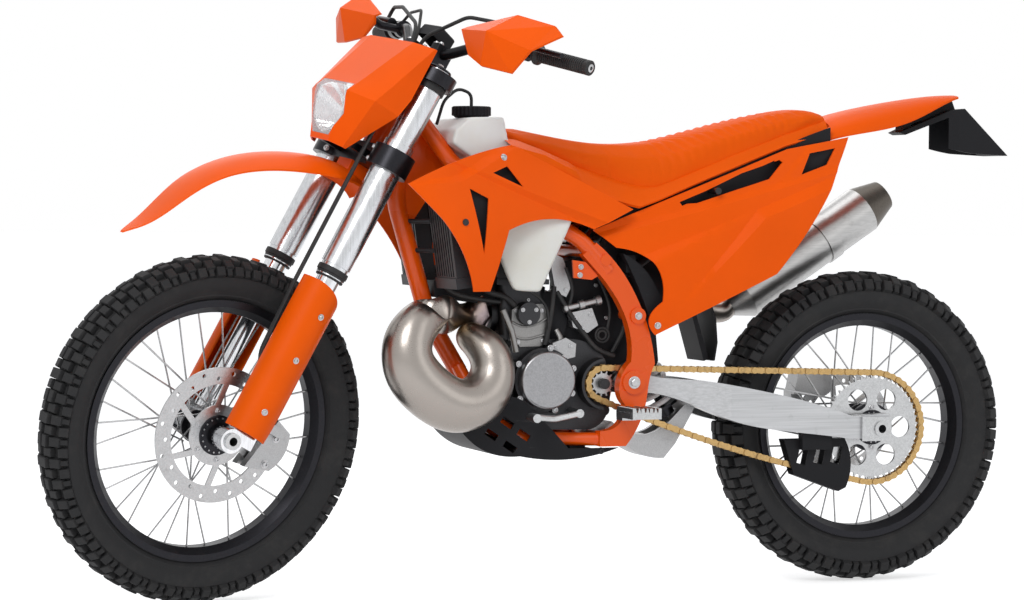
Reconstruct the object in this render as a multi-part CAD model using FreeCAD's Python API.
"""Enduro dirt bike: a two-stroke single with an expansion chamber, built as separate pieces.

All sizes are in millimetres and degrees.  The machine faces -X, its left side is -Y and +Z is up.
Coordinates below are measured from the rear axle as it stands at its nominal swingarm length, and
every piece is moved at the end so that the origin lies where the rider sits.
"""
import FreeCAD, Part
import math
import os
from FreeCAD import Vector

# Main layout
PIVOT_X, PIVOT_Z = -574.0, 107.0
SWINGARM_LENGTH = 583.9
SWINGARM_DROOP = 10.56
HEAD_X, HEAD_Z = -1076.0, 646.0
RAKE = 28.5
STEER_REST = 15.5
RIDER_X, RIDER_Z = -560.0, 603.0
RUNNING_GAP = 0.3

# Fork, measured in the fork's own upright frame about the middle of the steering head
FORK_SPACING = 108.0
FORK_OFFSET = 17.0
AXLE_OFFSET = 49.0
AXLE_DROP = 740.0
FORK_TOP = 120.0
OUTER_TUBE_R = 32.0
OUTER_TUBE_BOTTOM = -345.0
INNER_TUBE_R = 24.0
LOWER_CLAMP_Z, LOWER_CLAMP_H = -91.0, 46.0
UPPER_CLAMP_Z, UPPER_CLAMP_H = 102.0, 28.0
STEM_R = 16.0
HEAD_TUBE_R = 30.0

# Wheels
FRONT_TYRE_R, FRONT_TYRE_W = 356.0, 92.0
FRONT_RIM_R, FRONT_RIM_W = 268.0, 52.0
REAR_TYRE_R, REAR_TYRE_W = 337.0, 122.0
REAR_RIM_R, REAR_RIM_W = 245.0, 68.0
RIM_LIP, RIM_SEAT, RIM_DEPTH = 4.0, 14.0, 13.0
SPOKES = 32
SPOKE_R = 2.0
AXLE_R, AXLE_BORE = 12.5, 9.0
FRONT_DISC_R, FRONT_DISC_Y, DISC_T = 138.0, -60.0, 4.0
REAR_DISC_R, REAR_DISC_Y = 112.0, 62.0

# Chain drive
CHAIN_PITCH = 15.875
REAR_TEETH, FRONT_TEETH = 47, 13
CHAIN_Y, CHAIN_HALF_W, CHAIN_HALF_H = -74.0, 9.0, 7.5
ROLLER_R = 5.1
SPROCKET_T = 5.6
FRONT_SPROCKET_X, FRONT_SPROCKET_Z = -629.0, 103.0
CHAIN_SAG = 16.0
CHAIN_WAIST = 2.6

# Frame, swingarm and bodywork widths
PLATE_INNER, PLATE_OUTER = 87.0, 113.0
DOWN_TUBE_R, CRADLE_R, CRADLE_Y = 19.0, 14.0, 66.0
ARM_INNER, ARM_OUTER = 88.0, 118.0
AXLE_HALF = 128.0
BAR_R, GRIP_R, BAR_HALF = 11.0, 15.5, 405.0
BAR_CLAMP_Z, BAR_RISE_Z, GRIP_SWEEP = 163.0, 232.0, 110.0
GRIP_SHARE, PERCH_SHARE, HOLD_SHARE = 0.53, 0.335, 0.16
GUARD_W, GUARD_H, GUARD_T = 232.0, 124.0, 5.0
PANEL_T = 4.0
SILENCER_Y, SILENCER_R = 152.0, 54.0
RADIATOR_IN, RADIATOR_OUT = 50.0, 178.0
RADIATOR_X, RADIATOR_Z, RADIATOR_TILT = -984.0, 412.0, -8.0
SHOCK_TOP_TIE = (-566.0, 246.0, 12.0)
SHOCK_TOP, SHOCK_LOW = Vector(-566, 0, 246), Vector(-452, 0, 30)
SPRING_R, SPRING_WIRE_R, SPRING_TURNS = 32.0, 6.0, 6
SPRING_START, SPRING_END_GAP = 84.0, 26.0
TYRE_STEPS = 56
LOUVRES, LOUVRE_W, LOUVRE_DEPTH = 8, 7.0, 9.0
HOSE_R, CABLE_R = 4.0, 3.2
SILENCER_START = Vector(-242, SILENCER_Y, 256)
SILENCER_SLOPE = Vector(262, 0, 172).normalize()

REAR_AXLE = Vector(PIVOT_X + SWINGARM_LENGTH * math.cos(math.radians(SWINGARM_DROOP)), 0,
                   PIVOT_Z - SWINGARM_LENGTH * math.sin(math.radians(SWINGARM_DROOP)))
HEAD = Vector(HEAD_X, 0, HEAD_Z)
RIDER = Vector(RIDER_X, 0, RIDER_Z)
STEER_AXIS = Vector(math.sin(math.radians(RAKE)), 0, math.cos(math.radians(RAKE)))
ORIGIN, SIDEWAYS = Vector(0, 0, 0), Vector(0, 1, 0)


def face_of(runs, place):
    """Make a flat face from runs of points; a run of three or more points is a smooth curve."""
    edges = []
    start = runs[0][0]
    for number, run in enumerate(runs):
        following = runs[(number + 1) % len(runs)][0]
        points = [place(*p) for p in run]
        if number == len(runs) - 1 and tuple(run[-1]) == tuple(start):
            points[-1] = place(*start)
        if len(points) == 2:
            edges.append(Part.LineSegment(points[0], points[1]).toShape())
        elif len(points) > 2:
            curve = Part.BSplineCurve()
            curve.interpolate(points)
            edges.append(curve.toShape())
        if tuple(run[-1]) != tuple(following):
            edges.append(Part.LineSegment(points[-1], place(*following)).toShape())
    return Part.Face(Part.Wire(edges))


def slab(runs, y0, y1):
    """Extrude a side-view outline (x, z) from y0 to y1."""
    face = face_of(runs, lambda x, z: Vector(x, y0, z))
    return face.extrude(Vector(0, y1 - y0, 0))


def plan_slab(runs, z0, z1):
    """Extrude a plan-view outline (x, y) from z0 to z1."""
    face = face_of(runs, lambda x, y: Vector(x, y, z0))
    return face.extrude(Vector(0, 0, z1 - z0))


def front_slab(runs, x0, x1):
    """Extrude a front-view outline (y, z) from x0 to x1."""
    face = face_of(runs, lambda y, z: Vector(x0, y, z))
    return face.extrude(Vector(x1 - x0, 0, 0))


def corners(*points):
    """Turn corner points into one straight run for each side of a polygon."""
    return [[p, points[(i + 1) % len(points)]] for i, p in enumerate(points)]


def rod(start, end, radius, bore=0.0):
    """A round bar, or a tube when a bore is given, between two points."""
    start, end = Vector(*start), Vector(*end)
    way = end - start
    bar = Part.makeCylinder(radius, way.Length, start, way)
    if bore:
        bar = bar.cut(Part.makeCylinder(bore, way.Length, start, way))
    return bar


def block(x0, x1, y0, y1, z0, z1):
    """A box between two corners."""
    return Part.makeBox(x1 - x0, y1 - y0, z1 - z0, Vector(x0, y0, z0))


def fused(shapes):
    """Join overlapping shapes into one solid without seams."""
    shapes = list(shapes)
    return shapes[0].multiFuse(shapes[1:]).removeSplitter()


def mirrored(shape):
    """The same piece on the other side of the machine."""
    return shape.mirror(ORIGIN, SIDEWAYS)


def both_sides(shape):
    """A left piece and its right twin, as one compound."""
    return Part.Compound(solids_of(shape) + solids_of(mirrored(shape)))


def solids_of(shape):
    """The separate solids in a shape."""
    return shape.Solids if shape.Solids else [shape]


def bent_path(points, bends):
    """A wire of straight runs joined by tangent arcs of the given radius at each inner point."""
    points = [Vector(*p) for p in points]
    if not isinstance(bends, (list, tuple)):
        bends = [bends] * (len(points) - 2)
    edges, here = [], points[0]
    for before, corner, after, radius in zip(points, points[1:], points[2:], bends):
        into = (before - corner).normalize()
        out = (after - corner).normalize()
        half = math.acos(max(-1.0, min(1.0, into.dot(out)))) / 2
        setback = radius / math.tan(half)
        first, last = corner + into * setback, corner + out * setback
        centre_way = (into + out).normalize()
        middle = corner + centre_way * (radius / math.sin(half) - radius)
        edges.append(Part.LineSegment(here, first).toShape())
        edges.append(Part.Arc(first, middle, last).toShape())
        here = last
    edges.append(Part.LineSegment(here, points[-1]).toShape())
    return Part.Wire(edges)


def bent_tube(points, radius, bends, bore=0.0):
    """A round tube that follows a bent path."""
    path = bent_path(points, bends)
    start = Vector(*points[0])
    way = Vector(*points[1]) - start

    def sweep(size):
        ring = Part.Wire(Part.makeCircle(size, start, way))
        return path.makePipeShell([ring], True, True)
    tube = sweep(radius)
    return tube.cut(sweep(bore)) if bore else tube


def tapered_pipe(stations):
    """A smooth pipe through stations (x, y, z, radius) whose sections stand across the path."""
    centres = [Vector(*s[:3]) for s in stations]
    rings = []
    for i, station in enumerate(stations):
        way = centres[min(i + 1, len(centres) - 1)] - centres[max(i - 1, 0)]
        rings.append(Part.Wire(Part.makeCircle(station[3], centres[i], way)))
    return Part.makeLoft(rings, True, False)


def turned(profile, centre):
    """Revolve a profile of (y, radius) corners about the crosswise axis through a centre."""
    points = [Vector(0, y, r) + Vector(*centre) for y, r in profile]
    face = Part.Face(Part.makePolygon(points + points[:1]))
    return face.revolve(Vector(*centre), SIDEWAYS, 360)


def skin(grid, thickness):
    """A curved sheet through a grid of points, given thickness along one direction."""
    surface = Part.BSplineSurface()
    surface.interpolate([[Vector(*p) for p in row] for row in grid])
    return surface.toShape().extrude(Vector(*thickness))


def rounded(shape, radius, chosen):
    """Fillet the edges that the chosen test accepts."""
    edges = [e for e in shape.Edges if chosen(e)]
    return shape.makeFillet(radius, edges) if edges else shape


def lean(shape):
    """Put a piece built in the fork's upright frame onto the raked and turned steering head."""
    placed = shape.copy()
    placed.rotate(ORIGIN, SIDEWAYS, RAKE)
    placed.translate(HEAD)
    placed.rotate(HEAD, STEER_AXIS, STEER_REST)
    return placed


def head_point(back, side, up):
    """A point of the fork's upright frame, standing straight ahead, in the machine's own frame."""
    sine, cosine = math.sin(math.radians(RAKE)), math.cos(math.radians(RAKE))
    return HEAD + Vector(back * cosine + up * sine, side, up * cosine - back * sine)


def up_to(bar, sheet):
    """The stretch of a crosswise bar that lies inboard of a sheet, ending on its inner face."""
    return min(bar.cut(sheet).Solids, key=lambda s: abs(s.CenterOfMass.y))


def below(bar, sheet):
    """The stretch of a bar that lies under a sheet, ending on its lower face."""
    return min(bar.cut(sheet).Solids, key=lambda s: s.CenterOfMass.z)


def save(name, shape):
    """Write one node, moved so that the rider's point is the origin."""
    placed = Part.Compound([s.copy() for s in solids_of(shape)]) if len(solids_of(shape)) > 1 \
        else solids_of(shape)[0].copy()
    placed.translate(RIDER * -1)
    placed.exportStep("parts/%s.step" % name)
    print("%-20s solids %2d  valid %s" % (name, len(placed.Solids), placed.isValid()))


def faceted_ring(profile, centre, steps):
    """A ring of flat facets: a profile of (y, radius) corners repeated in steps about the wheel's axis."""
    def corner(y, r, step):
        angle = 2 * math.pi * step / steps
        return Vector(r * math.cos(angle), y, r * math.sin(angle))
    faces = []
    for step in range(steps):
        for (y0, r0), (y1, r1) in zip(profile, profile[1:] + profile[:1]):
            quad = [corner(y0, r0, step), corner(y1, r1, step), corner(y1, r1, step + 1), corner(y0, r0, step + 1)]
            faces.append(Part.Face(Part.makePolygon(quad + quad[:1])))
    ring = Part.Solid(Part.Shell(faces))
    if ring.Volume < 0:
        ring.reverse()
    ring.translate(Vector(*centre))
    return ring


def tyre(centre, outer, width, rim_r, rim_w):
    """A solid-sectioned tyre whose bead sits between the rim's lips."""
    seat = rim_w / 2 - RIM_LIP
    bead = (rim_r - RIM_SEAT + RIM_LIP) / math.cos(math.pi / TYRE_STEPS)
    wall = (outer + rim_r) / 2
    half = [(seat, bead), (seat, rim_r + 1), (width * 0.44, rim_r + 16), (width / 2, wall + 6),
            (width * 0.46, outer - 18), (width * 0.28, outer - 3)]
    profile = half + [(0, outer)] + [(-y, r) for y, r in reversed(half)]
    return faceted_ring(profile, centre, TYRE_STEPS)


def rim(centre, rim_r, rim_w):
    """A drop-centre rim with two lips."""
    edge, seat = rim_w / 2, rim_r - RIM_SEAT + RIM_LIP
    half = [(edge - RIM_LIP, seat), (edge - RIM_LIP, rim_r), (edge, rim_r), (edge, seat - RIM_LIP),
            (edge * 0.45, rim_r - RIM_SEAT - RIM_DEPTH)]
    profile = half + [(-y, r) for y, r in reversed(half)]
    return turned(profile, centre)


def spokes(centre, hub, hub_r, hub_y, rim_r):
    """Crossed wire spokes from both hub flanges to the rim's middle."""
    inner_rim = rim_r - RIM_SEAT - RIM_DEPTH
    wires = []
    for i in range(SPOKES):
        side = 1 if i % 2 else -1
        lead = 1 if (i // 2) % 2 else -1
        angle = 2 * math.pi * i / SPOKES
        start_angle = angle - lead * math.radians(62)
        start = Vector(hub_r * math.cos(start_angle), side * hub_y, hub_r * math.sin(start_angle))
        end = Vector((inner_rim + 6) * math.cos(angle), side * 5.0, (inner_rim + 6) * math.sin(angle))
        wires.append(hex_bar(start, end, SPOKE_R))
    ring = Part.makeCylinder(inner_rim, 4 * hub_y, Vector(0, -2 * hub_y, 0), SIDEWAYS)
    for wire in wires:
        wire.translate(Vector(*centre))
    ring.translate(Vector(*centre))
    return Part.Compound([largest(wire.common(ring).cut(hub)) for wire in wires])


def hex_bar(start, end, radius):
    """A slim six-sided bar, a light stand-in for a round wire."""
    way = (end - start).normalize()
    across = way.cross(SIDEWAYS).normalize()
    up = way.cross(across).normalize()
    points = [start + across * (radius * math.cos(math.radians(a))) + up * (radius * math.sin(math.radians(a)))
              for a in range(0, 360, 60)]
    face = Part.Face(Part.makePolygon(points + points[:1]))
    return face.extrude(end - start)


def brake_disc(centre, y, outer, band, carrier_r, hub_r):
    """A drilled disc: a braking band, six slanted arms and an inner ring on the hub."""
    def ring(r_out, r_in):
        disc = Part.makeCylinder(r_out, DISC_T, Vector(0, y - DISC_T / 2, 0), SIDEWAYS)
        return disc.cut(Part.makeCylinder(r_in, DISC_T, Vector(0, y - DISC_T / 2, 0), SIDEWAYS))
    pieces = [ring(outer, outer - band), ring(carrier_r, hub_r)]
    for i in range(6):
        arm = block(carrier_r - 6, outer - band + 6, y - DISC_T / 2, y + DISC_T / 2, -6, 6)
        arm.rotate(Vector(carrier_r, 0, 0), SIDEWAYS, 24)
        arm.rotate(ORIGIN, SIDEWAYS, i * 60)
        pieces.append(arm)
    disc = fused(pieces)
    holes = []
    for i in range(24):
        angle = 2 * math.pi * i / 24
        reach = outer - band * (0.34 if i % 2 else 0.68)
        holes.append(Part.makeCylinder(4.5, 3 * DISC_T, Vector(reach * math.cos(angle), y - 1.5 * DISC_T,
                                       reach * math.sin(angle)), SIDEWAYS))
    disc = disc.cut(Part.Compound(holes))
    disc.translate(Vector(*centre))
    return disc


def pitch_radius(teeth):
    """The radius on which a chain's pins lie around a sprocket."""
    return CHAIN_PITCH / (2 * math.sin(math.pi / teeth))


def sprocket(centre, teeth, tip_gap, hub_r, windows):
    """A toothed plate with lightening windows; its tips stay a gap inside the chain's rollers."""
    tip = pitch_radius(teeth) - ROLLER_R - tip_gap
    root = tip - 6
    points = []
    for i in range(teeth):
        for share, radius in ((0.0, root), (0.3, root), (0.42, tip), (0.58, tip), (0.7, root)):
            angle = 2 * math.pi * (i + share) / teeth
            points.append(Vector(radius * math.cos(angle), CHAIN_Y - SPROCKET_T / 2, radius * math.sin(angle)))
    plate = Part.Face(Part.makePolygon(points + points[:1])).extrude(Vector(0, SPROCKET_T, 0))
    plate = plate.cut(Part.makeCylinder(hub_r, 40, Vector(0, CHAIN_Y - 20, 0), SIDEWAYS))
    for i in range(windows):
        cutter = Part.makeCylinder((root - hub_r) * 0.3, 40, Vector((root + hub_r) / 2, CHAIN_Y - 20, 0), SIDEWAYS)
        cutter.rotate(ORIGIN, SIDEWAYS, 360.0 * i / windows)
        plate = plate.cut(cutter)
    plate.translate(Vector(*centre))
    return plate


def chain_loop():
    """Evenly spaced points on the line of the chain's pins, and the way out of the loop at each."""
    big, small = pitch_radius(REAR_TEETH), pitch_radius(FRONT_TEETH)
    rear = Vector(REAR_AXLE.x, 0, REAR_AXLE.z)
    front = Vector(FRONT_SPROCKET_X, 0, FRONT_SPROCKET_Z)
    way = front - rear
    base = math.atan2(way.z, way.x)
    spread = math.acos((big - small) / way.Length)

    def at(centre, radius, angle):
        return centre + Vector(radius * math.cos(angle), 0, radius * math.sin(angle))
    top_r, top_f = at(rear, big, base - spread), at(front, small, base - spread)
    low_r, low_f = at(rear, big, base + spread), at(front, small, base + spread)
    sag = (low_r + low_f) * 0.5 - Vector(0, 0, CHAIN_SAG)
    edges = [Part.LineSegment(top_r, top_f).toShape(),
             Part.Arc(top_f, at(front, small, base), low_f).toShape(),
             Part.Arc(low_f, sag, low_r).toShape(),
             Part.Arc(low_r, at(rear, big, base + math.pi), top_r).toShape()]
    line = Part.Wire(edges)
    links = 2 * round(line.Length / CHAIN_PITCH / 2)
    middle = (rear + front) * 0.5
    spots = line.discretize(Number=2 * links + 1)[:-1]
    turn = 1 if (spots[1] - spots[-1]).cross(SIDEWAYS).dot(spots[0] - middle) > 0 else -1
    outward = [(after - before).cross(SIDEWAYS).normalize() * turn
               for before, after in zip(spots[-1:] + spots[:-1], spots[1:] + spots[:1])]
    return list(zip(spots, outward))


def chain():
    """The drive chain as one closed loop of waisted plates, with a channel for the sprockets' teeth."""
    spots = chain_loop()

    def loop(reach, waist):
        points = []
        for number, (spot, out) in enumerate(spots):
            points.append(spot + out * (reach - (waist if number % 2 else 0.0)))
        return Part.Face(Part.makePolygon(points + points[:1]))
    band = loop(CHAIN_HALF_H, CHAIN_WAIST).cut(loop(-CHAIN_HALF_H, -CHAIN_WAIST))
    band = band.extrude(Vector(0, 2 * CHAIN_HALF_W, 0))
    band.translate(Vector(0, CHAIN_Y - CHAIN_HALF_W, 0))
    channel = loop(-ROLLER_R, 0.0).extrude(Vector(0, SPROCKET_T + 2, 0))
    channel.translate(Vector(0, CHAIN_Y - SPROCKET_T / 2 - 1, 0))
    return largest(band.cut(channel))


def front_wheel_parts():
    """The front wheel's pieces, standing straight ahead in the fork's upright frame."""
    centre = (-AXLE_OFFSET, 0, -AXLE_DROP)
    hub = turned([(-44, AXLE_R + RUNNING_GAP), (-44, 30), (-32, 32), (-30, 40), (-24, 40), (-22, 24),
                  (26, 24), (28, 34), (34, 34), (36, 20), (44, 20), (44, AXLE_R + RUNNING_GAP)], centre)
    return {"front_tyre": tyre(centre, FRONT_TYRE_R, FRONT_TYRE_W, FRONT_RIM_R, FRONT_RIM_W),
            "front_rim": rim(centre, FRONT_RIM_R, FRONT_RIM_W),
            "front_spokes": spokes(centre, hub, 40, 27, FRONT_RIM_R),
            "front_hub": hub,
            "front_disc": fused([brake_disc(centre, FRONT_DISC_Y, FRONT_DISC_R, 34, 62, 32),
                                 turned([(FRONT_DISC_Y + 2, 31), (FRONT_DISC_Y + 2, 60), (FRONT_DISC_Y - 2, 60),
                                         (FRONT_DISC_Y - 2, 31)], centre),
                                 turned([(FRONT_DISC_Y, 22), (FRONT_DISC_Y, 36), (-44, 29), (-44, 22)], centre)])}


def rear_wheel_parts():
    """The rear wheel's pieces about the rear axle."""
    centre = REAR_AXLE
    bore = AXLE_R + RUNNING_GAP
    seat = CHAIN_Y + SPROCKET_T / 2
    hub = turned([(seat, bore), (seat, 52), (seat + 8, 52), (seat + 14, 42), (-36, 40), (-34, 48), (-28, 48),
                  (-26, 30), (26, 30), (28, 44), (34, 44), (36, 34), (REAR_DISC_Y - 2, 34), (REAR_DISC_Y - 2, bore)],
                 centre)
    return {"rear_tyre": tyre(centre, REAR_TYRE_R, REAR_TYRE_W, REAR_RIM_R, REAR_RIM_W),
            "rear_rim": rim(centre, REAR_RIM_R, REAR_RIM_W),
            "rear_spokes": spokes(centre, hub, 48, 31, REAR_RIM_R),
            "rear_hub": hub,
            "rear_disc": fused([brake_disc(centre, REAR_DISC_Y, REAR_DISC_R, 28, 44, 30)]),
            "rear_sprocket": sprocket(centre, REAR_TEETH, 1.0, 30, 6)}


def fork_parts():
    """Fork legs, clamps, axle, guards, caliper and lines in the fork's upright frame."""
    x, y = -FORK_OFFSET, -FORK_SPACING
    collar = rod((x, y, OUTER_TUBE_BOTTOM - 12), (x, y, OUTER_TUBE_BOTTOM), OUTER_TUBE_R - 2)
    outer = fused([rod((x, y, OUTER_TUBE_BOTTOM), (x, y, FORK_TOP), OUTER_TUBE_R - 3),
                   rod((x, y, OUTER_TUBE_BOTTOM + 14), (x, y, LOWER_CLAMP_Z + 40), OUTER_TUBE_R), collar])
    lug_top = -AXLE_DROP + 70
    inner = fused([rod((x, y, lug_top - 20), (x, y, OUTER_TUBE_BOTTOM - 12), INNER_TUBE_R),
                   rod((x, y, lug_top - 30), (x, y, lug_top), INNER_TUBE_R + 4),
                   block(-AXLE_OFFSET - 8, x + 18, y - 14, y + 14, -AXLE_DROP, lug_top - 20),
                   rod((-AXLE_OFFSET, y - 16, -AXLE_DROP), (-AXLE_OFFSET, y + 22, -AXLE_DROP), 25)])
    inner = inner.cut(rod((-AXLE_OFFSET, y - 20, -AXLE_DROP), (-AXLE_OFFSET, y + 30, -AXLE_DROP), AXLE_R))
    axle = fused([rod((-AXLE_OFFSET, y - 18, -AXLE_DROP), (-AXLE_OFFSET, -y + 18, -AXLE_DROP), AXLE_R),
                  rod((-AXLE_OFFSET, y - 22, -AXLE_DROP), (-AXLE_OFFSET, y - 16, -AXLE_DROP), 17),
                  rod((-AXLE_OFFSET, -y + 16, -AXLE_DROP), (-AXLE_OFFSET, -y + 22, -AXLE_DROP), 17)])
    axle = axle.cut(rod((-AXLE_OFFSET, y - 30, -AXLE_DROP), (-AXLE_OFFSET, -y + 30, -AXLE_DROP), AXLE_BORE))
    return {"fork_outer_tubes": both_sides(outer), "fork_inner_tubes": both_sides(inner),
            "front_axle": axle, "fork_guards": fork_guards()}


def triple_clamps(mask):
    """Both clamps and the stem that turns in the steering head."""
    def clamp(z, height, radius):
        z0, z1 = z - height / 2, z + height / 2
        body = plan_slab(corners((-FORK_OFFSET - 26, -FORK_SPACING), (-FORK_OFFSET - 26, FORK_SPACING),
                                 (-FORK_OFFSET + 30, FORK_SPACING), (20, 30), (20, -30),
                                 (-FORK_OFFSET + 30, -FORK_SPACING)), z0, z1)
        ends = [rod((-FORK_OFFSET, s * FORK_SPACING, z0), (-FORK_OFFSET, s * FORK_SPACING, z1), radius + 12)
                for s in (-1, 1)]
        return fused([body] + ends)
    lower = clamp(LOWER_CLAMP_Z, LOWER_CLAMP_H, OUTER_TUBE_R)
    upper = clamp(UPPER_CLAMP_Z, UPPER_CLAMP_H, OUTER_TUBE_R)
    stem = rod((0, 0, LOWER_CLAMP_Z), (0, 0, UPPER_CLAMP_Z + UPPER_CLAMP_H / 2 + 8), STEM_R)
    whole = fused([lower, upper, stem])
    for side in (-1, 1):
        y = side * FORK_SPACING
        whole = whole.cut(rod((-FORK_OFFSET, y, -400), (-FORK_OFFSET, y, LOWER_CLAMP_Z + 40), OUTER_TUBE_R))
        whole = whole.cut(rod((-FORK_OFFSET, y, 0), (-FORK_OFFSET, y, 400), OUTER_TUBE_R - 3))
    return fused([whole] + [mask_lug(mask, side * y, z)
                            for y, z in ((44, 98), (54, -94)) for side in (-1, 1)])


def mask_lug(mask, y, z):
    """A short lug that runs from a clamp's front face to the inside of the mask."""
    lug = block(-160, -FORK_OFFSET - 20, y - 7, y + 7, z - 7, z + 7).cut(mask)
    return max(lug.Solids, key=lambda s: s.CenterOfMass.x)


def fork_guards():
    """Guards that wrap the front and the outside of each lower leg."""
    x, y = -FORK_OFFSET, -FORK_SPACING
    plan = Part.makeCylinder(46, 360, Vector(x - 4, y + 2, -AXLE_DROP + 5))
    hollow = Part.makeCylinder(46 - PANEL_T, 360, Vector(x - 4, y + 2, -AXLE_DROP + 5))
    shell = plan.cut(hollow)
    window = slab([[(-88, -372), (-36, -378), (12, -402), (28, -424)], [(28, -424), (22, -600), (6, -716)],
                   [(6, -716), (-70, -712)], [(-70, -712), (-92, -600), (-88, -372)]], -200, y + 14)
    guard = shell.common(window)
    top_band = Part.makeCylinder(46, 12, Vector(x - 4, y + 2, -430)).cut(
        Part.makeCylinder(INNER_TUBE_R + RUNNING_GAP, 12, Vector(x, y, -430)))
    band = top_band.common(window)
    return both_sides(fused([guard, band]))


def folded(points, facets, thickness):
    """A sheet of flat facets, each given by the names of its corners, thickened along one direction."""
    panels = []
    for facet in facets:
        ring = [points[name] for name in facet]
        panels.append(Part.Face(Part.makePolygon(ring + ring[:1])).extrude(Vector(*thickness)))
    return fused(panels)


def cockpit_parts():
    """Handlebar, grips, levers, hand guards and their mounts in the fork's upright frame."""
    x0 = 2.0
    right = [(x0, 0, BAR_CLAMP_Z), (x0, 70, BAR_CLAMP_Z), (x0 + 28, 165, BAR_RISE_Z - 12),
             (GRIP_SWEEP, BAR_HALF, BAR_RISE_Z)]
    left = [(x, -y, z) for x, y, z in reversed(right[1:])]
    bar = bent_tube(left + right[1:], BAR_R, [60, 50, 50, 60])
    clamps = [block(x0 - 20, x0 + 20, s * 52 - 14, s * 52 + 14, UPPER_CLAMP_Z + UPPER_CLAMP_H / 2,
                    BAR_CLAMP_Z + 18) for s in (-1, 1)]
    bar = fused([bar] + clamps)
    start, end = Vector(*right[2]), Vector(*right[3])
    run = end - start
    inner = start + run * (1 - GRIP_SHARE)
    way = run.normalize()
    grip = fused([rod(inner, end + way * 4, GRIP_R), rod(inner, inner + way * 8, GRIP_R + 6)])
    grip = grip.cut(rod(inner - way * 6, end, BAR_R))
    guard = handguard(start, end)
    control = hand_control(start, end, guard)
    return {"handlebar": bar, "grips": both_sides(grip), "hand_controls": both_sides(control),
            "handguards": both_sides(guard)}


def hand_control(start, end, guard):
    """A lever with its perch and reservoir on the right-hand bar, and the guard's mounting arm."""
    run = end - start
    perch_at = start + run * PERCH_SHARE
    hold = start + run * HOLD_SHARE
    way = Vector(run).normalize()
    perch = rod(perch_at - way * 14, perch_at + way * 14, BAR_R + 8)
    pivot = perch_at + Vector(-38, 6, -2)
    arm = rod(perch_at + Vector(-16, 0, 0), pivot, 9)
    tip = end + Vector(-64, -12, -10)
    blade = bent_tube([pivot - way * 8, pivot + way * 34 + Vector(-14, 0, -4), tip], 5.5, 30)
    master = rod(pivot + Vector(2, -34, 0), pivot + Vector(2, 20, 0), 12)
    ring = rod(hold - way * 10, hold + way * 10, BAR_R + 7)
    target = guard.BoundBox
    foot = Vector(target.XMin + 6, target.YMin + 34, (target.ZMin + target.ZMax) / 2)
    mount = bent_tube([hold + Vector(-10, 0, -6), hold + Vector(-52, 4, -20), foot], 9, 24)
    control = fused([perch, arm, blade, master, ring, mount])
    return largest(control.cut(rod(start, end, BAR_R)).cut(guard))


def handguard(start, end):
    """A faceted shell in front of the right hand: one fold runs from its neck to its outer edge."""
    run = end - start
    neck = start + run * 0.02 + Vector(-84, 0, -16)
    wide, high = GUARD_W, GUARD_H

    def corner(out, up, back):
        return neck + Vector(back, out * wide, up * high)
    points = {"neck_top": corner(0.0, 0.09, 10), "neck": corner(0.0, 0.0, 0), "neck_low": corner(0.02, -0.10, 10),
              "crown": corner(0.56, 0.47, 22), "crown_out": corner(0.92, 0.50, 58), "tip": corner(1.0, 0.40, 72),
              "fold": corner(0.50, -0.02, -18), "fold_out": corner(0.90, -0.05, 36),
              "chin": corner(0.16, -0.36, 20), "chin_out": corner(0.42, -0.50, 20), "heel": corner(0.74, -0.46, 44)}
    facets = [("neck", "fold", "crown"), ("neck", "crown", "neck_top"), ("fold", "crown_out", "crown"),
              ("fold", "fold_out", "crown_out"), ("fold_out", "tip", "crown_out"),
              ("neck", "neck_low", "chin"), ("neck", "chin", "fold"), ("fold", "chin", "chin_out"),
              ("fold", "chin_out", "heel"), ("fold", "heel", "fold_out")]
    return folded(points, facets, (GUARD_T, 0, 0))


def mask_form(wall):
    """The lamp mask's faceted outer form, or its hollow when a wall is left all round."""
    levels = [(146, 143, 84, -68, -86, -62), (33, 133, 68, -110, -138, -56), (-8, 127, 64, -126, -158, -62),
              (-111, 63, 36, -106, -128, -98)]
    rings = []
    for number, (up, half, middle, side_x, front_x, rear_x) in enumerate(levels):
        if number == 0:
            up += wall
        if number == len(levels) - 1:
            up -= wall
        rear = 40.0 if wall else rear_x
        outline = [(rear, -half + wall), (side_x + wall, -half + wall), (front_x + wall, -middle + wall / 2),
                   (front_x + wall, middle - wall / 2), (side_x + wall, half - wall), (rear, half - wall)]
        ring = [Vector(x, y, up) for x, y in outline]
        rings.append(Part.makePolygon(ring + ring[:1]))
    return Part.makeLoft(rings, True, True)


def head_parts():
    """The lamp mask with its lens and bowl, and the front mudguard, in the fork's upright frame."""
    form, hollow = mask_form(0.0), mask_form(PANEL_T)
    mask = form.cut(hollow)
    frame_line = [(-60, 12), (60, 12), (62, -52), (32, -100), (-32, -100), (-62, -52)]
    glass_line = [(y * 0.994, z + (0.3 if z < 0 else -0.3)) for y, z in frame_line]
    mask = mask.cut(front_slab(corners(*frame_line), -260, -90))
    shell = form.cut(form.translated(Vector(PANEL_T, 0, 0)))
    lens = front_slab(corners(*glass_line), -260, -90).common(shell)
    bowl = Part.makeCone(72, 22, 90, Vector(-170, 0, -44), Vector(1, 0, 0))
    bowl = bowl.cut(Part.makeCone(68, 18, 90, Vector(-174, 0, -44), Vector(1, 0, 0)))
    bowl = largest(bowl.common(hollow).cut(shell).cut(mask))
    return {"headlight_mask": largest(mask), "headlight_lens": largest(lens), "headlight_bowl": bowl,
            "front_fender": front_fender()}


def largest(shape):
    """The biggest solid of a shape."""
    return max(shape.Solids, key=lambda s: s.Volume)


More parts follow.
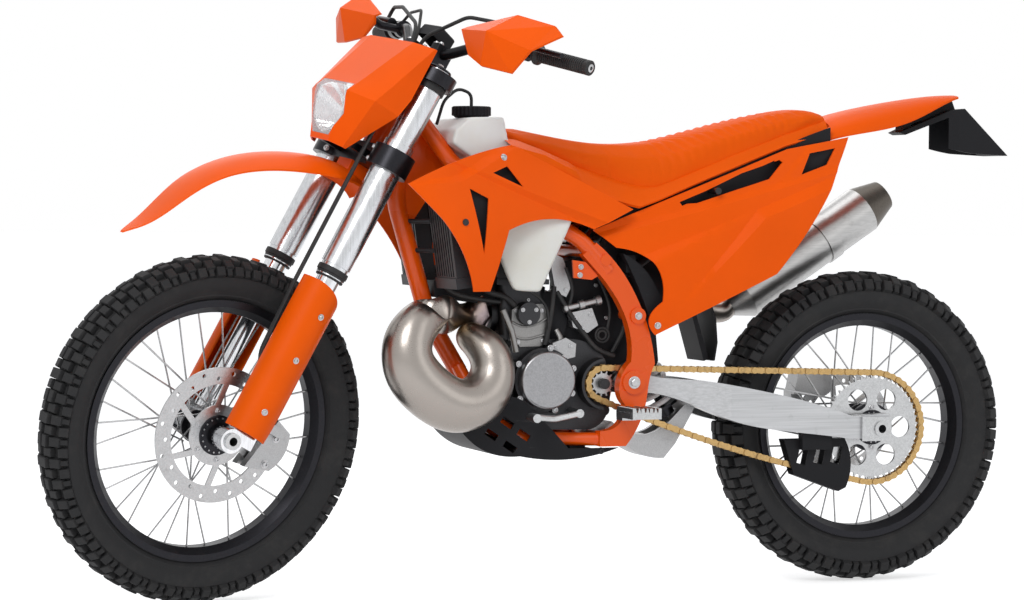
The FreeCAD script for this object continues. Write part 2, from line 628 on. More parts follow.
def front_fender():
    """A mudguard sheet, crowned across, with a beak in front and a flap behind the fork."""
    def row(x, z, half, drop):
        return [Vector(x, -half, z - drop), Vector(x, -half * 0.55, z - drop * 0.24), Vector(x, 0, z),
                Vector(x, half * 0.55, z - drop * 0.24), Vector(x, half, z - drop)]
    ridge = [(-430, -560, 84, 20), (-400, -450, 84, 24), (-352, -345, 84, 30), (-300, -258, 84, 36),
             (-225, -196, 84, 40), (-130, -150, 80, 42), (-40, -134, 76, 40), (40, -170, 74, 30)]
    sheet = skin([row(*r) for r in ridge], (0, 0, -PANEL_T))
    plan = plan_slab([[(-420, -6), (-420, 6)], [(-420, 6), (-330, 60), (-230, 74), (-120, 72), (30, 48)],
                      [(30, 48), (30, -48)], [(30, -48), (-120, -72), (-230, -74), (-330, -60), (-420, -6)]],
                     -800, 200)
    mount = block(-50, 16, -26, 26, -168, LOWER_CLAMP_Z - LOWER_CLAMP_H / 2 - RUNNING_GAP)
    below = skin([row(*r) for r in ridge], (0, 0, -200))
    return fused([largest(sheet.common(plan)), largest(mount.cut(below))])


def front_brake_parts():
    """The caliper astride the front disc, on the left leg."""
    x, z = 62.0, -AXLE_DROP + 26
    body = slab([[(x - 36, z - 56), (x + 20, z - 40)], [(x + 20, z - 40), (x + 34, z), (x + 24, z + 46)],
                 [(x + 24, z + 46), (x - 14, z + 58)], [(x - 14, z + 58), (x - 36, z - 56)]], FRONT_DISC_Y - 26,
                FRONT_DISC_Y + 26)
    gap = DISC_T / 2 + 5
    slot = Part.makeCylinder(FRONT_DISC_R + 6, 2 * gap, Vector(-AXLE_OFFSET, FRONT_DISC_Y - gap, -AXLE_DROP), SIDEWAYS)
    hanger = block(-FORK_OFFSET, x, -FORK_SPACING + 8, FRONT_DISC_Y - 18, -AXLE_DROP + 52, -AXLE_DROP + 72)
    hanger = hanger.cut(rod((-FORK_OFFSET, -FORK_SPACING, -800), (-FORK_OFFSET, -FORK_SPACING, -500),
                            INNER_TUBE_R + 4 + RUNNING_GAP))
    hanger = hanger.cut(block(-AXLE_OFFSET - 22, -FORK_OFFSET + 18.3, -FORK_SPACING - 15, -FORK_SPACING + 14.3,
                              -760, -650))
    return {"front_caliper": largest(fused([body, hanger]).cut(slot))}


def chassis_tubes():
    """The steel frame: steering head, backbones, down tube, cradle and pivot plates."""
    lift = STEER_AXIS
    head = rod(HEAD - lift * 62, HEAD + lift * 82, HEAD_TUBE_R)
    high_head = HEAD + lift * 50
    parts = []
    for side in (-1, 1):
        parts.append(bent_tube([high_head + Vector(6, side * 12, 0), (-960, side * 60, 560), (-800, side * 92, 466),
                                (-690, side * 98, 404), (-628, side * 100, 340)], 17, [60, 120, 120]))
        parts.append(slab([[(-660, 398), (-612, 352), (-570, 288), (-540, 215), (-526, 145)],
                           [(-526, 145), (-540, 100), (-546, 60), (-560, 20), (-590, -26)],
                           [(-590, -26), (-648, -26)], [(-648, -26), (-648, 6)], [(-648, 6), (-606, 20), (-592, 60)],
                           [(-592, 60), (-606, 90), (-602, 118), (-580, 150)],
                           [(-580, 150), (-584, 215), (-612, 280), (-650, 330), (-690, 372)],
                           [(-690, 372), (-660, 398)]], side * PLATE_INNER, side * PLATE_OUTER))
        parts.append(bent_tube([(-930, side * CRADLE_Y * 0.3, 140), (-888, side * CRADLE_Y, 40),
                                (-800, side * CRADLE_Y, -12), (-700, side * (CRADLE_Y + 4), -12),
                                (-630, side * (PLATE_INNER + 8), -12)], CRADLE_R, [30, 50, 60]))
    down = bent_tube([head_point(48, 0, -40), (-1062, 0, 480), (-990, 0, 240), (-922, 0, 128)], DOWN_TUBE_R,
                     [120, 200])
    gusset = slab(corners((-1053, 588), (-1040, 650), (-950, 556), (-1040, 420), (-1062, 480)), -9, 9)
    ties = [rod((x, -104, z), (x, 104, z), r) for x, z, r in ((-628, -12, 13), (-672, 380, 12), SHOCK_TOP_TIE)]
    bosses = [rod((x, side * (PLATE_OUTER - 4), z), (x, side * (PLATE_OUTER + 5), z), r)
              for x, z, r in ((PIVOT_X, PIVOT_Z, 25), (-566, 246, 17), (-640, 362, 12))
              for side in (-1, 1)]
    frame = fused([head, down, gusset] + ties + bosses + parts)
    frame = frame.cut(rod(HEAD - lift * 120, HEAD + lift * 120, STEM_R + RUNNING_GAP))
    return frame.cut(rod((PIVOT_X, -200, PIVOT_Z), (PIVOT_X, 200, PIVOT_Z), 10))


def subframe(frame, fender, cushion):
    """The rear frame that carries the seat, fender and panels."""
    rails = []
    for side in (-1, 1):
        rails.append(bent_tube([(-652, side * 62, 392), (-600, side * 62, 446), (-180, side * 62, 580)], 10, 60))
        rails.append(rod((-600, side * (PLATE_INNER - 9.3), 318), (-240, side * 62, 562), 9))
        rails.append(rod((-652, side * 62, 392), (-652, side * (PLATE_INNER - RUNNING_GAP), 392), 10))
        tab = rod((-400, side * 62, 508), (-400, side * 200, 508), 7)
        rails.append(up_to(tab, panel_sheet(side)))
        rails.append(below(rod((-190, side * 62, 577), (-50, side * 62, 674), 9), fender))
        rails.append(below(rod((-300, side * 52, 541), (-300, side * 52, 700), 9), cushion))
    ties = [rod((x, -62, z), (x, 62, z), 9) for x, z in ((-600, 444), (-200, 573), (-300, 541))]
    return largest(fused(rails + ties).cut(frame))


def from_axle(x, z):
    """A side-view point given by its distance behind and above the rear axle."""
    return (REAR_AXLE.x + x, REAR_AXLE.z + z)


def swingarm():
    """Cast arms that run from the pivot inside the chain loop out to the axle."""
    top, top_end, low_end, low = from_axle(-67, 28), from_axle(20, 32), from_axle(20, -24), from_axle(-76, -20)
    side_view = slab([[(-600, 112), (-574, 132), (-524, 120), (-421, 108), (-326, 94), top],
                      [top, top_end], [top_end, low_end], [low_end, low],
                      [low, (-244, 1), (-339, 20), (-421, 52), (-535, 82), (-574, 84), (-600, 112)]],
                     -ARM_OUTER, -30)
    back = REAR_AXLE.x + 30
    plan = plan_slab([[(-610, -64), (-530, -64)], [(-530, -64), (-450, -88), (-350, -ARM_OUTER)],
                      [(-350, -ARM_OUTER), (back, -ARM_OUTER)], [(back, -ARM_OUTER), (back, -ARM_INNER)],
                      [(back, -ARM_INNER), (-320, -ARM_INNER)],
                      [(-320, -ARM_INNER), (-440, -60), (-530, -42)], [(-530, -42), (-610, -42)]], -200, 300)
    arm = side_view.common(plan)
    pivot = rod((PIVOT_X, -84, PIVOT_Z), (PIVOT_X, 84, PIVOT_Z), 19)
    bridge = block(-418, -382, -80, 80, 60, 100)
    whole = fused([arm, mirrored(arm), pivot, bridge])
    slot_x, slot_z = from_axle(-36, -AXLE_R - RUNNING_GAP)
    slot = block(slot_x, slot_x + 50, -150, 150, slot_z, slot_z + 2 * (AXLE_R + RUNNING_GAP))
    return whole.cut(slot).cut(rod((PIVOT_X, -200, PIVOT_Z), (PIVOT_X, 200, PIVOT_Z), 10))


def engine_cases():
    """Crankcase and gearbox as one casting, with lugs round its covers and an arc over the drive sprocket."""
    side = slab([[(-852, 150), (-862, 90), (-840, 30)], [(-840, 30), (-790, 8)], [(-790, 8), (-650, 6)],
                 [(-650, 6), (-616, 30), (-606, 90), (-616, 150)], [(-616, 150), (-650, 184), (-700, 196)],
                 [(-700, 196), (-820, 196)], [(-820, 196), (-852, 150)]], -60, 66)
    clutch = rod((-690, 60, 110), (-690, 106, 110), 74)
    cover = rod((-690, 104, 110), (-690, 116, 110), 60)
    crank_right = rod((-790, 60, 104), (-790, 92, 104), 46)
    crank_left = rod((-762, -86, 113), (-762, -58, 113), 66)
    lugs = [lug_at(-762, 113, 67, angle, -88, -58, 7) for angle in (20, 80, 150, 215, 290, 335)]
    lugs += [lug_at(-690, 110, 75, angle, 60, 108, 7) for angle in range(0, 360, 45)]
    x, z = FRONT_SPROCKET_X, FRONT_SPROCKET_Z
    arc = rod((x, -96, z), (x, -56, z), 54, 48).common(block(x - 60, x - 4, -100, -50, z - 60, z + 60))
    room = rod((x, -120, z), (x, CHAIN_Y + 14, z), 46)
    shaft = rod((x, -92, z), (x, -50, z), 11)
    round_cover = rod((-728, -74, 180), (-728, -50, 180), 15)
    cases = fused([side, clutch, cover, crank_right, crank_left, round_cover, arc] + lugs).cut(room)
    mounts = [rod((x, -60, z), (x, 60, z), 12) for x, z in ((-852, 62), (-618, 46))]
    return fused([cases, shaft] + mounts)


def lug_at(x, z, reach, angle, y0, y1, radius):
    """A bolt lug at an angle and distance round a crosswise axis."""
    lug_x = x + reach * math.cos(math.radians(angle))
    lug_z = z + reach * math.sin(math.radians(angle))
    return rod((lug_x, y0, lug_z), (lug_x, y1, lug_z), radius)


def cylinder_parts():
    """The cylinder with its head, and the ignition cover below it on the left."""
    barrel = slab([[(-846, 196), (-744, 196)], [(-744, 196), (-752, 316)], [(-752, 316), (-850, 316)],
                   [(-850, 316), (-846, 196)]], -52, 52)
    barrel = rounded(barrel, 14, lambda e: abs(e.tangentAt(e.FirstParameter).z) > 0.9)
    head = slab([[(-856, 316), (-748, 316)], [(-748, 316), (-752, 348)], [(-752, 348), (-780, 366), (-830, 366)],
                 [(-830, 366), (-858, 344), (-856, 316)]], -56, 56)
    plug = rod((-802, 0, 360), (-802, 0, 396), 13)
    port = rod((-860, 0, 246), (-836, 0, 246), 34)
    valve = rod((-796, -84, 250), (-796, -50, 250), 24)
    base = block(-852, -738, -50, 50, 196, 205)
    joint = block(-860, -744, -60, 60, 310, 321)
    posts = [rod((x, y, 318), (x, y, 352), 9) for x in (-842, -762) for y in (-42, 42)]
    cylinder = fused([barrel, head, plug, port, valve, base, joint] + posts)
    cover = rod((-762, -112, 113), (-762, -86, 113), 60)
    cover = rounded(cover, 7, lambda e: abs(e.CenterOfMass.y + 112) < 1)
    return {"cylinder": cylinder, "ignition_cover": cover}


def exhaust_route(room=0.0):
    """The expansion chamber and its tail pipe, or the space they need when room is added all round."""
    slope = SILENCER_SLOPE
    start = SILENCER_START
    lead_in = start - slope * 26
    stations = [(-860.2, 0, 246, 25), (-905, -4, 245, 27), (-950, -34, 246, 31), (-990, -76, 250, 35),
                (-1036, -106, 240, 43), (-1072, -124, 200, 50), (-1070, -130, 144, 55),
                (-1028, -130, 94, 57), (-968, -126, 66, 56), (-912, -120, 84, 52),
                (-886, -110, 136, 46), (-900, -92, 184, 40), (-918, -62, 202, 31),
                (-907, -24, 193, 25), (-894, 14, 188, 22), (-872, 58, 196, 19), (-830, 84, 226, 17),
                (-770, 84, 250, 16), (-700, 68, 266, 15.5), (-600, 64, 276, 15.5),
                (-520, 76, 282, 15.5), (-440, 104, 278, 16), (-370, 126, 266, 17),
                (-310, 144, 250, 20), (lead_in.x, lead_in.y, lead_in.z, 23),
                (start.x, start.y, start.z, 25)]
    return tapered_pipe([(x, y, z, r + room) for x, y, z, r in stations])


def exhaust_parts(cylinder):
    """Expansion chamber, its tail pipe and the silencer on the right."""
    slope = SILENCER_SLOPE
    start = SILENCER_START
    chamber = largest(exhaust_route().cut(cylinder))
    ahead = start + slope * 40
    end = start + slope * 390
    body = rod(ahead, end, SILENCER_R)
    cone = Part.makeCone(26, SILENCER_R, 40, start, slope)
    cap = Part.makeCone(SILENCER_R, 34, 62, end, slope).cut(rod(end - slope, end + slope * 80, 17))
    bore = rod(end - slope * 60, end + slope, 17)
    strap = rod(end - slope * 130, end - slope * 100, SILENCER_R + 3)
    silencer = fused([body, cone, strap]).cut(bore)
    return {"expansion_chamber": chamber, "silencer": silencer, "silencer_cap": cap}


def radiator(side):
    """One radiator between its two tanks, with the tab that holds the shroud."""
    core = block(-16, 16, RADIATOR_IN + 2, RADIATOR_OUT - 2, -96, 96)
    tanks = [block(-19, 19, RADIATOR_IN, RADIATOR_OUT, z - 11, z + 11) for z in (-96, 96)]
    pitch = (RADIATOR_OUT - RADIATOR_IN - 16) / LOUVRES
    slots = [block(-17, LOUVRE_DEPTH - 16, RADIATOR_IN + 8 + pitch * i, RADIATOR_IN + 8 + pitch * i + LOUVRE_W, -82, 82)
             for i in range(LOUVRES)]
    whole = fused([core.cut(Part.Compound(slots))] + tanks)
    whole.rotate(ORIGIN, SIDEWAYS, RADIATOR_TILT)
    whole.translate(Vector(RADIATOR_X, 0, RADIATOR_Z))
    tab = rod((RADIATOR_X, RADIATOR_OUT - 6, 440), (RADIATOR_X, 300, 440), 7)
    whole = fused([whole, up_to(tab, shroud_sheet(1))])
    return whole if side > 0 else mirrored(whole)


def cooling_parts(cylinder, frame):
    """Two radiators held off the down tube, and the hose to the engine."""
    def held(side):
        tabs = [rod((x, 0, z), (RADIATOR_X, side * (RADIATOR_IN + 12), z), 5).cut(frame)
                for x, z in ((-1050, 440), (-1032, 380))]
        outboard = [max(tab.Solids, key=lambda s: side * s.CenterOfMass.y) for tab in tabs]
        return fused([radiator(side)] + outboard)
    right = held(1)
    hose = bent_tube([(-850, 34, 332), (-890, 36, 332), (-925, 84, 336), (-1000, 90, 330)], 13, [20, 20])
    return {"radiators": Part.Compound([right, held(-1)]),
            "coolant_hose": largest(hose.cut(right).cut(cylinder))}


def tank_parts(frame):
    """The fuel tank, a saddle over the backbone, with its cap."""
    body = slab([[(-968, 628), (-936, 654)], [(-936, 654), (-862, 656)], [(-862, 656), (-852, 606)],
                 [(-852, 606), (-780, 575)], [(-780, 575), (-702, 539)], [(-702, 539), (-700, 440)],
                 [(-700, 440), (-800, 492)], [(-800, 492), (-900, 550)], [(-900, 550), (-974, 600)],
                 [(-974, 600), (-968, 628)]], -104, 104)
    lobe = slab([[(-884, 540), (-888, 414), (-846, 300)], [(-846, 300), (-790, 296)],
                 [(-790, 296), (-722, 440)], [(-722, 440), (-716, 540)], [(-716, 540), (-884, 540)]], -134, -115)
    shoulder = slab(corners((-880, 546), (-800, 494), (-722, 456), (-716, 536), (-786, 570), (-880, 566)),
                    -134, 134)
    tab = up_to(rod((-770, 120, 500), (-770, 300, 500), 8), shroud_sheet(1))
    tank = fused([body, shoulder, lobe, mirrored(lobe), tab, mirrored(tab)])
    tank = largest(tank.cut(frame))
    cap = Part.makeCone(30, 26, 26, Vector(-898, 0, 655.8), Vector(0, 0, 1))
    return {"fuel_tank": tank, "tank_cap": cap}


def seat(tank):
    """One long cushion that rests on the tank, widens over it and rises to the tail."""
    stations = [(-846, 40, 40, 600, 640), (-780, 74, 54, 572, 624), (-700, 84, 60, 536, 610),
                (-600, 92, 66, 502, 602), (-520, 100, 74, 492, 608), (-400, 108, 84, 546, 634),
                (-280, 104, 84, 590, 664), (-160, 84, 70, 634, 682), (-112, 70, 56, 652, 676)]
    wires = []
    for x, low, top, z0, z1 in stations:
        shoulder = z0 + (z1 - z0) * 0.7
        points = [(-low, z0), (low, z0), (low, shoulder), (top, z1 - 3), (0, z1), (-top, z1 - 3), (-low, shoulder)]
        ring = [Vector(x, y, z) for y, z in points]
        wires.append(Part.makePolygon(ring + ring[:1]))
    return largest(Part.makeLoft(wires, True, False).cut(tank.translated(Vector(0, 0, RUNNING_GAP))))


def shroud_sheet(side):
    """The curved sheet that a shroud is cut from."""
    grid = [[(-1130, -232, 300), (-1130, -226, 400), (-1130, -222, 500), (-1130, -196, 640)],
            [(-1000, -222, 300), (-1000, -230, 400), (-1000, -216, 500), (-1000, -170, 640)],
            [(-860, -176, 300), (-860, -186, 400), (-860, -172, 500), (-860, -122, 640)],
            [(-720, -152, 300), (-720, -154, 400), (-720, -146, 500), (-720, -122, 640)],
            [(-560, -142, 300), (-560, -142, 400), (-560, -138, 500), (-560, -126, 640)]]
    sheet = skin(grid, (0, PANEL_T, 0))
    return sheet if side < 0 else mirrored(sheet)


def panel_sheet(side):
    """The curved sheet that a side panel is cut from."""
    grid = [[(-680, -122, 190), (-680, -122, 340), (-680, -120, 480), (-680, -114, 660)],
            [(-520, -124, 190), (-520, -140, 340), (-520, -142, 480), (-520, -118, 660)],
            [(-350, -126, 190), (-350, -152, 340), (-350, -156, 480), (-350, -122, 660)],
            [(-200, -124, 190), (-200, -146, 340), (-200, -152, 480), (-200, -116, 660)],
            [(-40, -110, 190), (-40, -124, 340), (-40, -130, 480), (-40, -104, 660)]]
    sheet = skin(grid, (0, PANEL_T, 0))
    return sheet if side < 0 else mirrored(sheet)


def body_panels():
    """Shrouds, side panels, rear fender and plate holder."""
    shroud_line = slab([[(-1106, 516), (-984, 566), (-856, 598)], [(-856, 598), (-590, 468)], [(-590, 468), (-674, 426)],
                        [(-674, 426), (-751, 446), (-878, 424)], [(-878, 424), (-896, 372), (-922, 292)],
                        [(-922, 292), (-948, 280), (-962, 306)], [(-962, 306), (-1000, 396), (-1036, 446)],
                        [(-1036, 446), (-1080, 490), (-1106, 516)]], -300, -80)
    vent = slab(corners((-970, 508), (-926, 488), (-940, 376)), -300, -80)
    upper_vent = slab(corners((-912, 540), (-876, 554), (-842, 512)), -300, -80)
    shroud = largest(shroud_sheet(-1).common(shroud_line).cut(vent).cut(upper_vent))
    panel_line = slab([[(-664, 424), (-440, 516), (-228, 598)], [(-228, 598), (-76, 626)],
                       [(-76, 626), (-150, 490), (-264, 334)], [(-264, 334), (-531, 206)],
                       [(-531, 206), (-546, 230), (-518, 276)], [(-518, 276), (-534, 350), (-616, 388)],
                       [(-616, 388), (-664, 424)]], -300, -80)
    slot = slab(corners((-480, 484), (-260, 574), (-262, 562), (-474, 476)), -300, -80)
    window = slab(corners((-200, 544), (-176, 590), (-112, 602), (-136, 566)), -300, -80)
    panel = largest(panel_sheet(-1).common(panel_line).cut(slot).cut(window))
    return {"shrouds": both_sides(shroud), "side_panels": both_sides(panel),
            "rear_fender": rear_fender(), "plate_holder": plate_holder()}


def rear_fender():
    """The tail: a crowned sheet with deep sides, open underneath."""
    def row(x, z, half, drop):
        return [Vector(x, -half, z - drop), Vector(x, -half * 0.8, z - drop * 0.3), Vector(x, 0, z),
                Vector(x, half * 0.8, z - drop * 0.3), Vector(x, half, z - drop)]
    rows = [(-180, 630, 96, 60), (-100, 668, 98, 64), (0, 694, 94, 66), (100, 712, 82, 54), (222, 724, 58, 10)]
    sheet = skin([row(*r) for r in rows], (0, 0, -PANEL_T))
    plan = plan_slab([[(-150, -92), (-60, -94), (60, -86), (216, -50)], [(216, -50), (216, 50)],
                      [(216, 50), (60, 86), (-60, 94), (-150, 92)], [(-150, 92), (-150, 88)],
                      [(-150, 88), (-108, 74)], [(-108, 74), (-108, -74)], [(-108, -74), (-150, -88)],
                      [(-150, -88), (-150, -92)]], 400, 900)
    return largest(sheet.common(plan))


def plate_holder():
    """The dark bracket under the tail, with a sloping plate face."""
    side = slab([[(84, 640), (200, 690)], [(200, 690), (232, 694)], [(232, 694), (338, 592)], [(338, 592), (250, 596)],
                 [(250, 596), (170, 612), (84, 640)]], -54, 54)
    plan = plan_slab(corners((70, -26), (220, -50), (350, -54), (350, 54), (220, 50), (70, 26)), 500, 800)
    hollow = slab(corners((60, 620), (200, 676), (226, 682), (320, 588), (300, 560), (60, 560)), -46, 46)
    spine = slab(corners((96, 640), (110, 740), (206, 740), (226, 690), (120, 660)), -18, 18)
    return fused([largest(side.common(plan).cut(hollow)), below(spine, rear_fender())])


def airbox_parts(subframe_tubes):
    """The air filter box with its mud flap, and the intake to the cylinder."""
    box = slab([[(-600, 440), (-604, 300), (-540, 236)], [(-540, 236), (-500, 250), (-440, 330)],
                [(-440, 330), (-330, 370)], [(-330, 370), (-230, 480)], [(-230, 480), (-250, 540)],
                [(-250, 540), (-600, 440)]], -50, 50)
    cheek = slab([[(-600, 376), (-560, 352), (-522, 300)], [(-522, 300), (-510, 276), (-538, 240)],
                  [(-538, 240), (-562, 300), (-600, 376)]], -112, -89)
    bridge = block(-588, -566, -100, -40, 336, 372)
    flap = slab(corners((-440, 336), (-430, 330), (-372, 150), (-384, 146)), -44, 44)
    box = fused([box, flap, cheek, bridge]).cut(rod((-760, 0, 244.4), (-590, 0, 338.9), 34 + RUNNING_GAP))
    top, low = SHOCK_TOP, SHOCK_LOW
    box = box.cut(rod(top - (low - top) * 0.2, low, 40)).cut(subframe_tubes).cut(exhaust_route(RUNNING_GAP))
    tie_x, tie_z, tie_r = SHOCK_TOP_TIE
    return {"airbox": largest(box.cut(rod((tie_x, -120, tie_z), (tie_x, 120, tie_z), tie_r + RUNNING_GAP)))}


def intake(cylinder):
    """The throttle body between reed block and air boot."""
    start, end = Vector(-750, 0, 250), Vector(-606, 0, 330)
    way = (end - start).normalize()
    boot = rod(start, start + way * 40, 32)
    body = rod(start + way * 38, start + way * 104, 27)
    bowl = block(-716, -668, -30, 30, 210, 286)
    rear = rod(start + way * 102, end, 34)
    return largest(fused([boot, body, bowl, rear]).cut(cylinder))


def coil(first, last):
    """A wire coil that fills the room between two spring seats."""
    room = (last - first).Length
    rise = room - 2 * SPRING_WIRE_R
    helix = Part.makeHelix(rise / SPRING_TURNS, rise, SPRING_R)
    section = Part.Wire(Part.makeCircle(SPRING_WIRE_R, Vector(SPRING_R, 0, 0), SIDEWAYS))
    wire = Part.Wire(helix).makePipeShell([section], True, True)
    wire.translate(Vector(0, 0, SPRING_WIRE_R))
    way = last - first
    wire.rotate(ORIGIN, SIDEWAYS, math.degrees(math.atan2(way.x, way.z)))
    wire.translate(first)
    return wire


def shock_parts():
    """The damper, its spring and the linkage below the swingarm."""
    top, low = SHOCK_TOP, SHOCK_LOW
    way = (low - top).normalize()
    eye_x, eye_z, eye_r = SHOCK_TOP_TIE
    body = fused([rod(top, top + way * 110, 25), rod(top + way * 100, low, 9), rod(low - way * 26, low, 20)])
    body = body.cut(rod((eye_x, -60, eye_z), (eye_x, 60, eye_z), eye_r + RUNNING_GAP))
    first, last = top + way * SPRING_START, low - way * SPRING_END_GAP
    spring = coil(first, last)
    rim_r = SPRING_R + SPRING_WIRE_R
    body = fused([body, rod(first - way * 8, first, rim_r), rod(last, last + way * 6, rim_r)])
    link = slab([[(-614.7, -20), (-560, -30)], [(-560, -30), (-500, -58), (-470, -60)], [(-470, -60), (-444, -30)],
                 [(-444, -30), (-392, 59.7)], [(-392, 59.7), (-416, 59.7)], [(-416, 59.7), (-452, 24)],
                 [(-452, 24), (-520, -10), (-590, 20)], [(-590, 20), (-614.7, -4)],
                 [(-614.7, -4), (-614.7, -20)]], -34, 34)
    link = link.cut(slab(corners((-600, 60), (-540, -2), (-440, -24), (-430, 66)), -22, 22))
    return {"shock_body": body, "shock_spring": spring, "linkage": link}


def foot_parts():
    """Footpegs, shift lever, brake pedal and the skid plate."""
    peg = fused([block(-624, -560, -232, -142, 38, 52),
                 block(-612, -580, -146, -PLATE_OUTER - 0.3, 30, 52)])
    teeth = [block(-624 + 19 * i, -617 + 19 * i, -232, -146, 52, 60) for i in range(4)]
    shift = fused([rod((-695, -118, 44), (-695, -60, 44), 9),
                   bent_tube([(-695, -112, 44), (-752, -120, 34), (-812, -140, 40)], 7, 60),
                   rod((-812, -178, 40), (-812, -136, 40), 9)])
    brake = fused([rod((-600, 113.3, 6), (-600, 146, 6), 11),
                   bent_tube([(-600, 140, 6), (-700, 142, 0), (-838, 140, 34)], 7, 120),
                   block(-862, -828, 128, 162, 30, 42)])
    return {"footpegs": both_sides(fused([peg] + teeth)), "shift_lever": shift, "brake_pedal": brake,
            "skid_plate": skid_plate()}


def skid_plate():
    """A moulded plate that wraps under the cradle, with windows in its flanks."""
    outline = [[(-600, -30), (-640, -42), (-820, -44)], [(-820, -44), (-900, -30), (-962, 30)],
               [(-962, 30), (-930, 60), (-880, 70)], [(-880, 70), (-830, 78), (-800, 60)],
               [(-800, 60), (-740, 0), (-712, -30)], [(-712, -30), (-600, -30)]]
    body = slab(outline, -98, 98)
    inside = slab([[(-560, -38), (-650, -38), (-818, -39)], [(-818, -38), (-894, -26), (-956, 36)],
                   [(-956, 36), (-900, 140)], [(-900, 140), (-560, 140)], [(-560, 140), (-560, -38)]], -93, 93)
    plate = body.cut(inside)
    windows = [slab(corners((x, z), (x + 24, z - 16), (x + 16, z - 28), (x - 8, z - 12)), -120, 120)
               for x, z in ((-856, 40), (-820, 14), (-890, 16), (-850, -10))]
    pads = [block(x, x + 34, min(side * 58, side * 74), max(side * 58, side * 74), -40, -26)
            for x in (-790, -700) for side in (-1, 1)]
    return largest(fused([plate.cut(Part.Compound(windows)).cut(exhaust_route(PANEL_T))] + pads))


def rear_brake_and_axle(arm):
    """Rear axle with its adjuster plates, the caliper and the chain guide."""
    x, z = REAR_AXLE.x, REAR_AXLE.z
    axle = rod((x, -AXLE_HALF, z), (x, AXLE_HALF, z), AXLE_R)
    plates = [block(x - 46, x + 24, s * (ARM_OUTER + 3) - 3, s * (ARM_OUTER + 3) + 3, z - 26, z + 26)
              for s in (-1, 1)]
    nuts = [rod((x, s * (ARM_OUTER + 4), z), (x, s * AXLE_HALF, z), 17) for s in (-1, 1)]
    axle = fused([axle] + plates + nuts).cut(rod((x, -AXLE_HALF - 5, z), (x, AXLE_HALF + 5, z), AXLE_BORE))
    low, high, back, rear, top = (from_axle(-132, 66), from_axle(-60, 60), from_axle(-36, 84), from_axle(-50, 112),
                                  from_axle(-120, 118))
    caliper = slab([[low, high], [high, back, rear], [rear, top], [top, low]], REAR_DISC_Y - 24, REAR_DISC_Y + 25.7)
    gap = DISC_T / 2 + 5
    slot = Part.makeCylinder(REAR_DISC_R + 6, 2 * gap, Vector(x, REAR_DISC_Y - gap, z), SIDEWAYS)
    bracket = block(x - 122, x - 96, REAR_DISC_Y + 10, ARM_OUTER - 6, z + 30, z + 70)
    caliper = largest(fused([caliper, bracket]).cut(slot).cut(arm))
    return {"rear_axle": axle, "rear_caliper": caliper, "chain_guide": chain_guide(arm)}


def chain_guide(arm):
    """The moulded guide that keeps the chain's lower run in line, hung from the left arm."""
    front, back, heel, toe, chin, nose = (from_axle(-214, -22), from_axle(-70, -22), from_axle(-56, -60),
                                          from_axle(-66, -128), from_axle(-84, -136), from_axle(-190, -98))
    guide = slab([[front, back], [back, heel, toe], [toe, chin], [chin, nose], [nose, front]],
                 CHAIN_Y - 14, CHAIN_Y + 14)
    tunnel = corners(*[from_axle(*p) for p in ((-240, 0), (-40, 0), (-40, -126), (-84, -118), (-150, -100),
                                               (-240, -78))])
    guide = largest(guide.cut(slab(tunnel, CHAIN_Y - 10, CHAIN_Y + 10)))
    windows = [corners(*[from_axle(x + dx, z) for dx, z in ((0, -40), (22, -40), (14, -78), (-8, -72))])
               for x in (-176, -136, -96)]
    guide = guide.cut(Part.Compound([slab(w, CHAIN_Y - 30, CHAIN_Y + 30) for w in windows]))
    lug_x, lug_z = from_axle(-178, -44)
    lug = block(lug_x, lug_x + 70, -104, CHAIN_Y - 10, lug_z, lug_z + 56).cut(arm)
    return largest(fused([guide, lug]))


def drive_sprocket():
    """The small gearbox sprocket, fixed in the chain."""
    plate = sprocket((FRONT_SPROCKET_X, 0, FRONT_SPROCKET_Z), FRONT_TEETH, 0.6, 11, 0)
    return plate


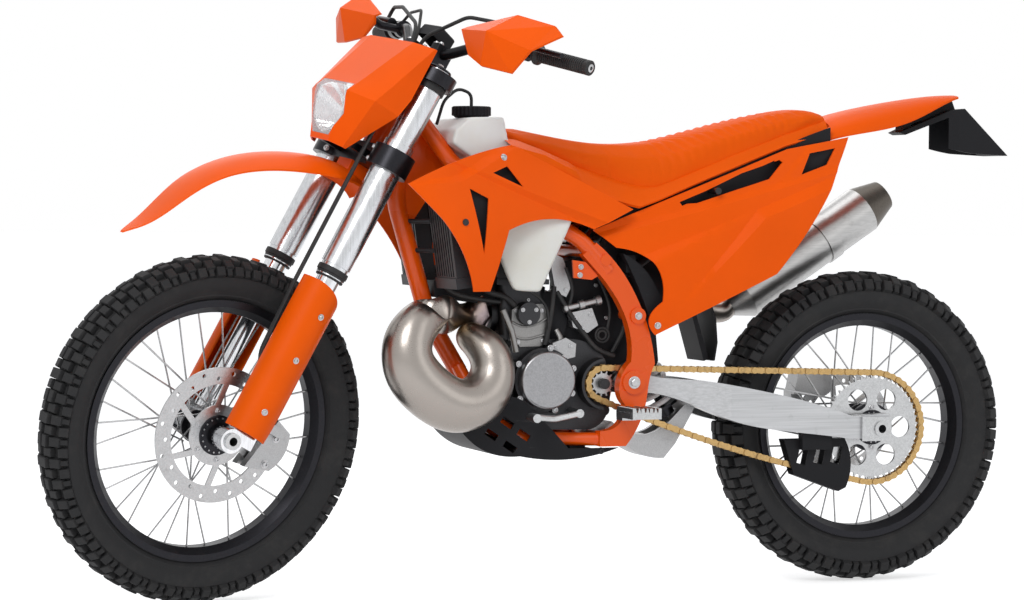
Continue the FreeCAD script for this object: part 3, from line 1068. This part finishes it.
def front_lines(held_by):
    """Brake hose, sensor lead, throttle cable and clutch hose, each one whole cord between its two ends."""
    hose = bent_tube([(20, 240, 230), (17, 236, 258), (-30, 120, 242), (-62, -20, 196), (-68, -74, 90),
                      (-66, -74, -400), (-58, -72, -560), (6, -74, -626), (58, -78, -666)], HOSE_R,
                     [18, 60, 60, 80, 300, 60, 40])
    lead = bent_tube([(-50, -84, 104), (-72, -84, 96), (-70, -84, -400), (-60, -82, -560), (-4, -80, -636),
                      (44, -80, -672)], CABLE_R, [12, 300, 50, 40])
    throttle = bent_tube([(57, 245, 238), (52, 222, 266), (-10, 80, 250), (-24, 22, 190), (-24, 20, 112)],
                         CABLE_R, [18, 40, 40])
    clutch = bent_tube([(20, -240, 230), (17, -232, 258), (-16, -110, 248), (-34, -24, 182), (-34, -22, 112)],
                       HOSE_R, [16, 50, 40])
    cords = []
    for cord in (hose, lead, throttle, clutch):
        for piece in held_by:
            cord = largest(cord.cut(piece))
        cords.append(cord)
    return Part.Compound(cords)


def build():
    """Build every piece and write one file for each node."""
    os.makedirs("parts", exist_ok=True)
    frame = chassis_tubes()
    fixed = {"frame": frame, "swingarm": swingarm(), "engine_cases": engine_cases(), "chain": chain(),
             "drive_sprocket": drive_sprocket()}
    for group in (cylinder_parts(), tank_parts(frame), body_panels()):
        fixed.update(group)
    fixed["seat"] = seat(fixed["fuel_tank"])
    tail = subframe(frame, fixed["rear_fender"], fixed["seat"])
    fixed["rear_subframe"] = tail
    for group in (exhaust_parts(fixed["cylinder"]), cooling_parts(fixed["cylinder"], frame), airbox_parts(tail),
                  shock_parts(), foot_parts(), rear_brake_and_axle(fixed["swingarm"]), rear_wheel_parts()):
        fixed.update(group)
    fixed["intake"] = intake(fixed["cylinder"])
    steered = {}
    for group in (front_wheel_parts(), fork_parts(), cockpit_parts(), head_parts(), front_brake_parts()):
        steered.update(group)
    steered["triple_clamps"] = triple_clamps(steered["headlight_mask"])
    ends = [steered[name] for name in ("front_caliper", "triple_clamps", "hand_controls")]
    steered["front_lines"] = front_lines(ends)
    for name, shape in fixed.items():
        save(name, shape)
    for name, shape in steered.items():
        save(name, lean(shape))


build()
